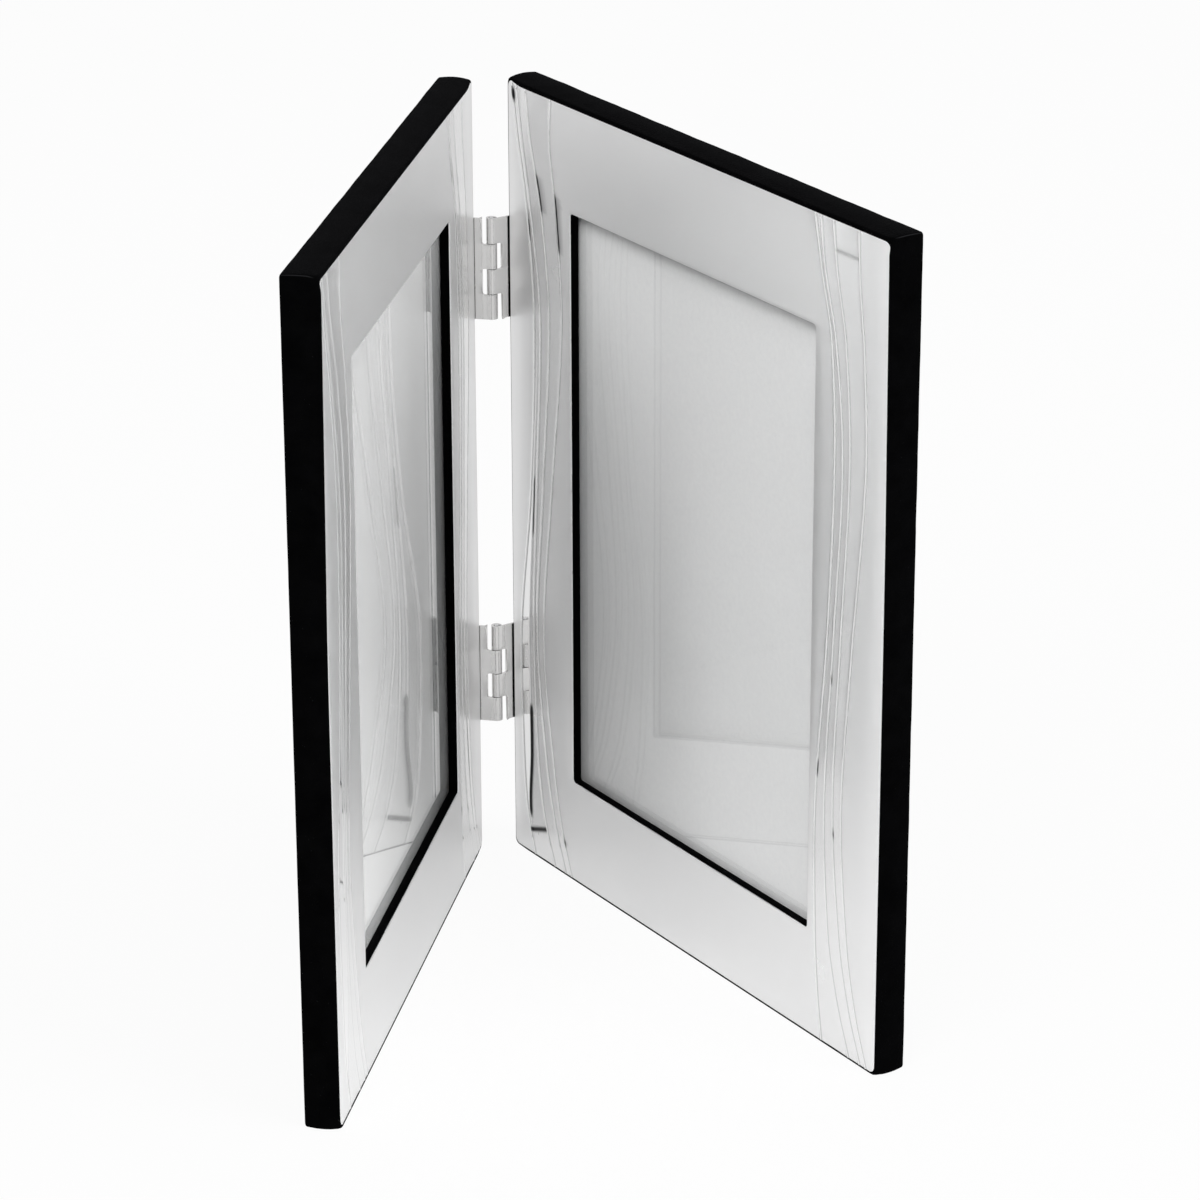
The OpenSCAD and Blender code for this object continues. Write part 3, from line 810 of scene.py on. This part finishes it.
# Rounding of a notch's corners and of the leaf's far corners, with the rows that it takes
NOTCH_ROUND, NOTCH_ROWS = 0.45, [0, 0.06, 0.18, 0.32, 0.45]
LEAF_ROUND, LEAF_ROWS = 1.0, [0.1, 0.3, 0.6, 1.0]
KNUCKLE_ROWS = 8
# How much thinner a leaf is than the CAD's, and width, steps and least angle of its soft edges
LEAF_THINNER, SOFT_EDGE, SOFT_STEPS, SOFT_ANGLE = 0.02, 0.09, 2, 50
# Heights that are closer together than this count as one
LEVEL = 0.001
# Rounded end of a pin: its radius, then shares of the pin's radius and distances from the end
PIN_TIP_R, PIN_TIP = 0.1, [(0.6, 0.03), (0.92, 0.12), (1, 0.25)]


def leaf_path():
    """Middle line of a leaf and its rolled knuckle: x and y in panel coordinates."""
    radius = BARREL_R - LEAF_T / 2
    straight = [(-LEAF_T / 2, y) for y in np.linspace(LEAF_END, -NOTCH_EDGE + NOTCH_ROUND, LEAF_STEPS)]
    straight += [(-LEAF_T / 2, y) for y in np.linspace(-NOTCH_EDGE, -PIN_FORWARD, NECK_STEPS)]
    roll = []
    for k in range(1, ROLL_STEPS + 1):
        angle = math.radians(ROLL * k / ROLL_STEPS)
        roll.append((-BARREL_R + radius * math.cos(angle), -PIN_FORWARD - radius * math.sin(angle)))
    return np.array(straight + roll)


def hinge_leaf(panel, name, z_middle, first):
    """Leaf whose knuckles are every second one from the given first, counted from the bottom."""
    path = leaf_path()
    bottom, top = z_middle - HINGE_H / 2, z_middle + HINGE_H / 2
    knuckle_h = HINGE_H / KNUCKLES
    spans = []
    for k in range(first, KNUCKLES, 2):
        low = bottom + k * knuckle_h + (KNUCKLE_GAP / 2 if k > 0 else 0)
        high = bottom + (k + 1) * knuckle_h - (KNUCKLE_GAP / 2 if k < KNUCKLES - 1 else 0)
        spans.append((low, high))
    heights = {bottom, top}
    for low, high in spans:
        heights.update(np.linspace(low, high, KNUCKLE_ROWS))
        heights.update(low - f for f in NOTCH_ROWS if low - f > bottom)
        heights.update(high + f for f in NOTCH_ROWS if high + f < top)
    for f in LEAF_ROWS:
        heights.update((bottom + f, top - f))
    rows = sorted(set(round(h, 4) for h in heights))
    points, index, faces = [], {}, []
    for r, z in enumerate(rows):
        away = min(max(low - z, z - high, 0) for low, high in spans)
        reach = min(away, NOTCH_ROUND)
        notch = -NOTCH_EDGE + math.sqrt(max(NOTCH_ROUND ** 2 - (NOTCH_ROUND - reach) ** 2, 0))
        end = LEAF_END - arc_inset(LEAF_ROUND, min(z - bottom, top - z))
        for c, (x, y) in enumerate(path):
            if c > LEAF_STEPS and away > LEVEL:
                continue
            if c <= LEAF_STEPS:
                y = min(notch if c == LEAF_STEPS else y, end)
            index[r, c] = len(points)
            points.append((x, y, z))
    for r in range(len(rows) - 1):
        on_knuckle = any(low - LEVEL <= rows[r] and rows[r + 1] <= high + LEVEL for low, high in spans)
        for c in range(len(path) - 1):
            quad = [(r, c), (r, c + 1), (r + 1, c + 1), (r + 1, c)]
            if all(q in index for q in quad) and (c < LEAF_STEPS or on_knuckle):
                faces.append(tuple(index[q] for q in quad))
    piece = new_mesh(name + "_piece", panel.place(points), faces, nickel, flip=panel.mirrored)
    thick = piece.modifiers.new("thickness", "SOLIDIFY")
    thick.thickness, thick.offset, thick.use_even_offset = (LEAF_T - LEAF_THINNER) * MM, 0.0, True
    soft = piece.modifiers.new("edges", "BEVEL")
    soft.width, soft.segments = SOFT_EDGE * MM, SOFT_STEPS
    soft.limit_method, soft.angle_limit = "ANGLE", math.radians(SOFT_ANGLE)
    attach(piece, panel.body)
    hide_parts(name)


def circle_ring(radius, level, count=32):
    """Points of a circle at a level."""
    angles = [math.tau * k / count for k in range(count)]
    return [(radius * math.cos(angle), radius * math.sin(angle), level) for angle in angles]


def hinge_pin(name):
    """Upright pin with rounded ends, where the CAD's pin is."""
    low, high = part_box(name)
    middle = (low + high) / 2 / MM
    half = (high.z - low.z) / 2 / MM
    tip = [(PIN_TIP_R, half)] + [(share * PIN_R, half - down) for share, down in PIN_TIP]
    profile = [(radius, -level) for radius, level in tip] + tip[::-1]
    rings = [circle_ring(radius, level) for radius, level in profile]
    numbers, faces = stack(rings)
    faces += [tuple(reversed(numbers[0])), tuple(numbers[-1])]
    points = np.concatenate(rings) + np.array(middle)
    piece = new_mesh(name + "_piece", points * MM, faces, steel)
    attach(piece, "left_panel")
    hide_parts(name)


def hinges():
    for level, z in (("lower", HINGE_INSET), ("upper", BODY_H - HINGE_INSET)):
        hinge_leaf(panels[0], f"{level}_hinge_left_leaf", z, 0)
        hinge_leaf(panels[1], f"{level}_hinge_right_leaf", z, 1)
        hinge_pin(f"{level}_hinge_pin")


# Turn buttons

# Place and outline of a turn button
BUTTON_OFFSET, BUTTON_FRONT, BUTTON_T = 8.0, BODY_D + 0.06, 0.8
BUTTON_R, ARM_HALF, ARM_REACH = 3.6, 2.5, 12.5
# Its hole with a dish round it, and the rib pressed in its arm
HOLE_R, DISH_R, DISH_DEPTH, DISH_SLOPE = 1.15, 2.9, 0.12, 0.3
RIB_START, RIB_END, RIB_R, RIB_HEIGHT, RIB_SLOPE, RIB_SHOULDER = 5.9, 9.7, 1.2, 0.25, 0.3, 0.8
# Angle in degrees from which its edges are sharp, and the section of its outer edge, as inset and depth
SHARP_ANGLE = 40
BUTTON_EDGE = [(0.12, 0), (0, 0.12), (0, BUTTON_T - 0.2), (0.06, BUTTON_T - 0.06), (0.2, BUTTON_T)]


def capsule_ring(radius, depth, count=8):
    """Points round the rib of a turn button's arm: along the arm, across it, and depth."""
    points = []
    for centre, start in ((RIB_END, -90), (RIB_START, 90)):
        for k in range(count + 1):
            angle = math.radians(start + 180 * k / count)
            points.append((centre + radius * math.cos(angle), radius * math.sin(angle), depth))
    return points


def button_ring(inset, depth, count=26):
    """Points round a turn button's outline, drawn in by an inset."""
    radius, half = BUTTON_R - inset, ARM_HALF - inset
    start = math.asin(half / radius)
    points = []
    for k in range(count + 1):
        angle = start + (math.tau - 2 * start) * k / count
        points.append((radius * math.cos(angle), radius * math.sin(angle), depth))
    for k in range(count // 2 + 1):
        angle = math.radians(-90 + 180 * k / (count // 2))
        points.append((ARM_REACH - ARM_HALF + half * math.cos(angle), half * math.sin(angle), depth))
    return points


def turn_button(panel, place):
    """Pressed turn button with soft edges, a dish round its screw and a rib along its arm."""
    side, end = RABBET_W / 2 + BUTTON_OFFSET, RABBET_H / 2 + BUTTON_OFFSET
    across, up, along = {"top": (0, end, (0, -1)), "bottom": (0, -end, (0, 1)),
                         "inner": (-side, 0, (1, 0)), "outer": (side, 0, (-1, 0))}[place]
    t = BUTTON_T
    outline = [button_ring(inset, depth) for inset, depth in BUTTON_EDGE]
    dish = [circle_ring(DISH_R, t), circle_ring(DISH_R - DISH_SLOPE, t - DISH_DEPTH),
            circle_ring(HOLE_R, t - DISH_DEPTH), circle_ring(HOLE_R, 0)]
    rib = [capsule_ring(RIB_R, t), capsule_ring(RIB_R - RIB_SLOPE, t + RIB_HEIGHT * RIB_SHOULDER),
           capsule_ring(RIB_R - 2 * RIB_SLOPE, t + RIB_HEIGHT)]
    points, faces, numbers = [], [], []
    for group in (outline, dish, rib):
        group_numbers, sides = stack(group, len(points))
        numbers.append(group_numbers)
        faces += sides
        points += [point for ring in group for point in ring]
    outline, dish, rib = numbers
    faces.append(tuple(rib[-1]))
    for loops in ((outline[-1], dish[0], rib[0]), (outline[0], dish[-1])):
        ids = [i for loop in loops for i in loop]
        flat = [[Vector((points[i][0], points[i][1], 0)) for i in loop] for loop in loops]
        faces += [tuple(ids[i] for i in corners) for corners in tessellate_polygon(flat)]
    placed = [(BODY_W / 2 + across + p * along[0] - q * along[1], BUTTON_FRONT + d,
               BODY_H / 2 + up + p * along[1] + q * along[0]) for p, q, d in points]
    name = f"{panel.name}_turn_button_{place}"
    piece = new_mesh(name + "_piece", panel.place(placed), faces, nickel)
    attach(piece, name)
    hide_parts(name)
    fix_normals(piece)
    piece.data.set_sharp_from_angle(angle=math.radians(SHARP_ANGLE))


def dress(name, finish):
    """Gives a CAD node that stays its finished material."""
    slots = frame["nodes"][name].material_slots
    for held in slots:
        held.material = finish
    if not slots:
        frame["nodes"][name].data.materials.append(finish)


for panel in panels:
    front_plate(panel)
    velvet_wrap(panel)
    glazing(panel)
    dress(panel.name + "_frame_core", fibreboard)
    dress(panel.name + "_backing_board", hardboard)
    dress(panel.name + "_turn_button_screws", steel)
    dress(panel.name + "_hinge_screws", steel)
    for place in ("top", "bottom", "inner", "outer"):
        turn_button(panel, place)
hinges()


# Floor, world, lights and camera

FLOOR_REACH = 4.0
# How white the floor is for the camera, how much of an even glow reflections show of it, and that glow
FLOOR_WHITE, FLOOR_MIRRORED, FLOOR_GLOW = 0.94, 0.5, 0.97
# Strength of the world as light on the object, in reflections, and behind it
AMBIENT, WALLS, BACKDROP = 0.44, 0.82, 1.0
LAMP_SIZE, LAMP_AIM = 0.9, (0, 0, 0.1)
# Place and power of each lamp
LAMPS = {"key": ((-0.9, -1.1, 1.3), 11.5), "fill": ((1.1, -0.9, 1.0), 13)}
# The photograph's view, solved from the corners of both plates and windows
CAMERA_PLACE, CAMERA_FORWARD = (-0.18284, -0.96420, 0.49461), (0.183506, 0.906932, -0.379210)
CAMERA_ROLL, SENSOR_W, LENS = -0.185, 36.0, 139.4
CLIP_START, CLIP_END = 0.05, 20.0


def times(tree, value, factor):
    made = node(tree, "ShaderNodeMath", operation="MULTIPLY")
    made.inputs[1].default_value = factor
    tree.links.new(value, made.inputs[0])
    return made.outputs["Value"]


def floor():
    made, tree, shader = material("pale_floor")
    cloud = noise(tree, scale=3.0, detail=2.0)
    tree.links.new(blend_colours(tree, cloud, FLOOR_TONES), shader.inputs["Base Color"])
    shader.inputs["Roughness"].default_value = 0.9
    shader.inputs["Specular IOR Level"].default_value = 0.1
    seen = node(tree, "ShaderNodeLightPath")
    white = node(tree, "ShaderNodeEmission", Strength=1.0)
    glow = node(tree, "ShaderNodeEmission", Strength=FLOOR_GLOW)
    mirrored = times(tree, seen.outputs["Is Glossy Ray"], FLOOR_MIRRORED)
    lit = mixed(tree, mirrored, shader.outputs["BSDF"], glow.outputs["Emission"])
    share = times(tree, seen.outputs["Is Camera Ray"], FLOOR_WHITE)
    tree.links.new(mixed(tree, share, lit, white.outputs["Emission"]),
                   tree.nodes["Material Output"].inputs["Surface"])
    corners = [(FLOOR_REACH * x, FLOOR_REACH * y, 0) for x, y in ((-1, -1), (1, -1), (1, 1), (-1, 1))]
    new_mesh("floor", corners, [(0, 1, 2, 3)], made, smooth=False)


def world():
    made = bpy.data.worlds.new("studio")
    bpy.context.scene.world = made
    made.use_nodes = True
    tree = made.node_tree
    tree.nodes.clear()
    seen = node(tree, "ShaderNodeLightPath")
    mirrored = node(tree, "ShaderNodeMath", operation="MAXIMUM")
    tree.links.new(seen.outputs["Is Glossy Ray"], mirrored.inputs[0])
    tree.links.new(seen.outputs["Is Transmission Ray"], mirrored.inputs[1])
    ambient, walls, backdrop = (
        node(tree, "ShaderNodeBackground", Strength=level, Color=(1, 1, 1, 1)).outputs["Background"]
        for level in (AMBIENT, WALLS, BACKDROP))
    studio = mixed(tree, mirrored.outputs["Value"], ambient, walls)
    out = node(tree, "ShaderNodeOutputWorld")
    tree.links.new(mixed(tree, seen.outputs["Is Camera Ray"], studio, backdrop), out.inputs["Surface"])


def lamp(name, place, power):
    data = bpy.data.lights.new(name, "AREA")
    data.shape, data.size, data.energy = "SQUARE", LAMP_SIZE, power
    made = bpy.data.objects.new(name, data)
    bpy.context.scene.collection.objects.link(made)
    made.location = place
    made.rotation_euler = (Vector(LAMP_AIM) - Vector(place)).to_track_quat("-Z", "Y").to_euler()


def camera():
    data = bpy.data.cameras.new("camera")
    data.sensor_width, data.lens = SENSOR_W, LENS
    data.clip_start, data.clip_end = CLIP_START, CLIP_END
    made = bpy.data.objects.new("camera", data)
    bpy.context.scene.collection.objects.link(made)
    turn = Vector(CAMERA_FORWARD).to_track_quat("-Z", "Y").to_matrix()
    turn = turn @ Matrix.Rotation(math.radians(CAMERA_ROLL), 3, "Z")
    made.matrix_world = Matrix.Translation(CAMERA_PLACE) @ turn.to_4x4()
    bpy.context.scene.camera = made


floor()
world()
for name, (place, power) in LAMPS.items():
    lamp(name, place, power)
camera()
bpy.context.scene.view_settings.view_transform = "Standard"
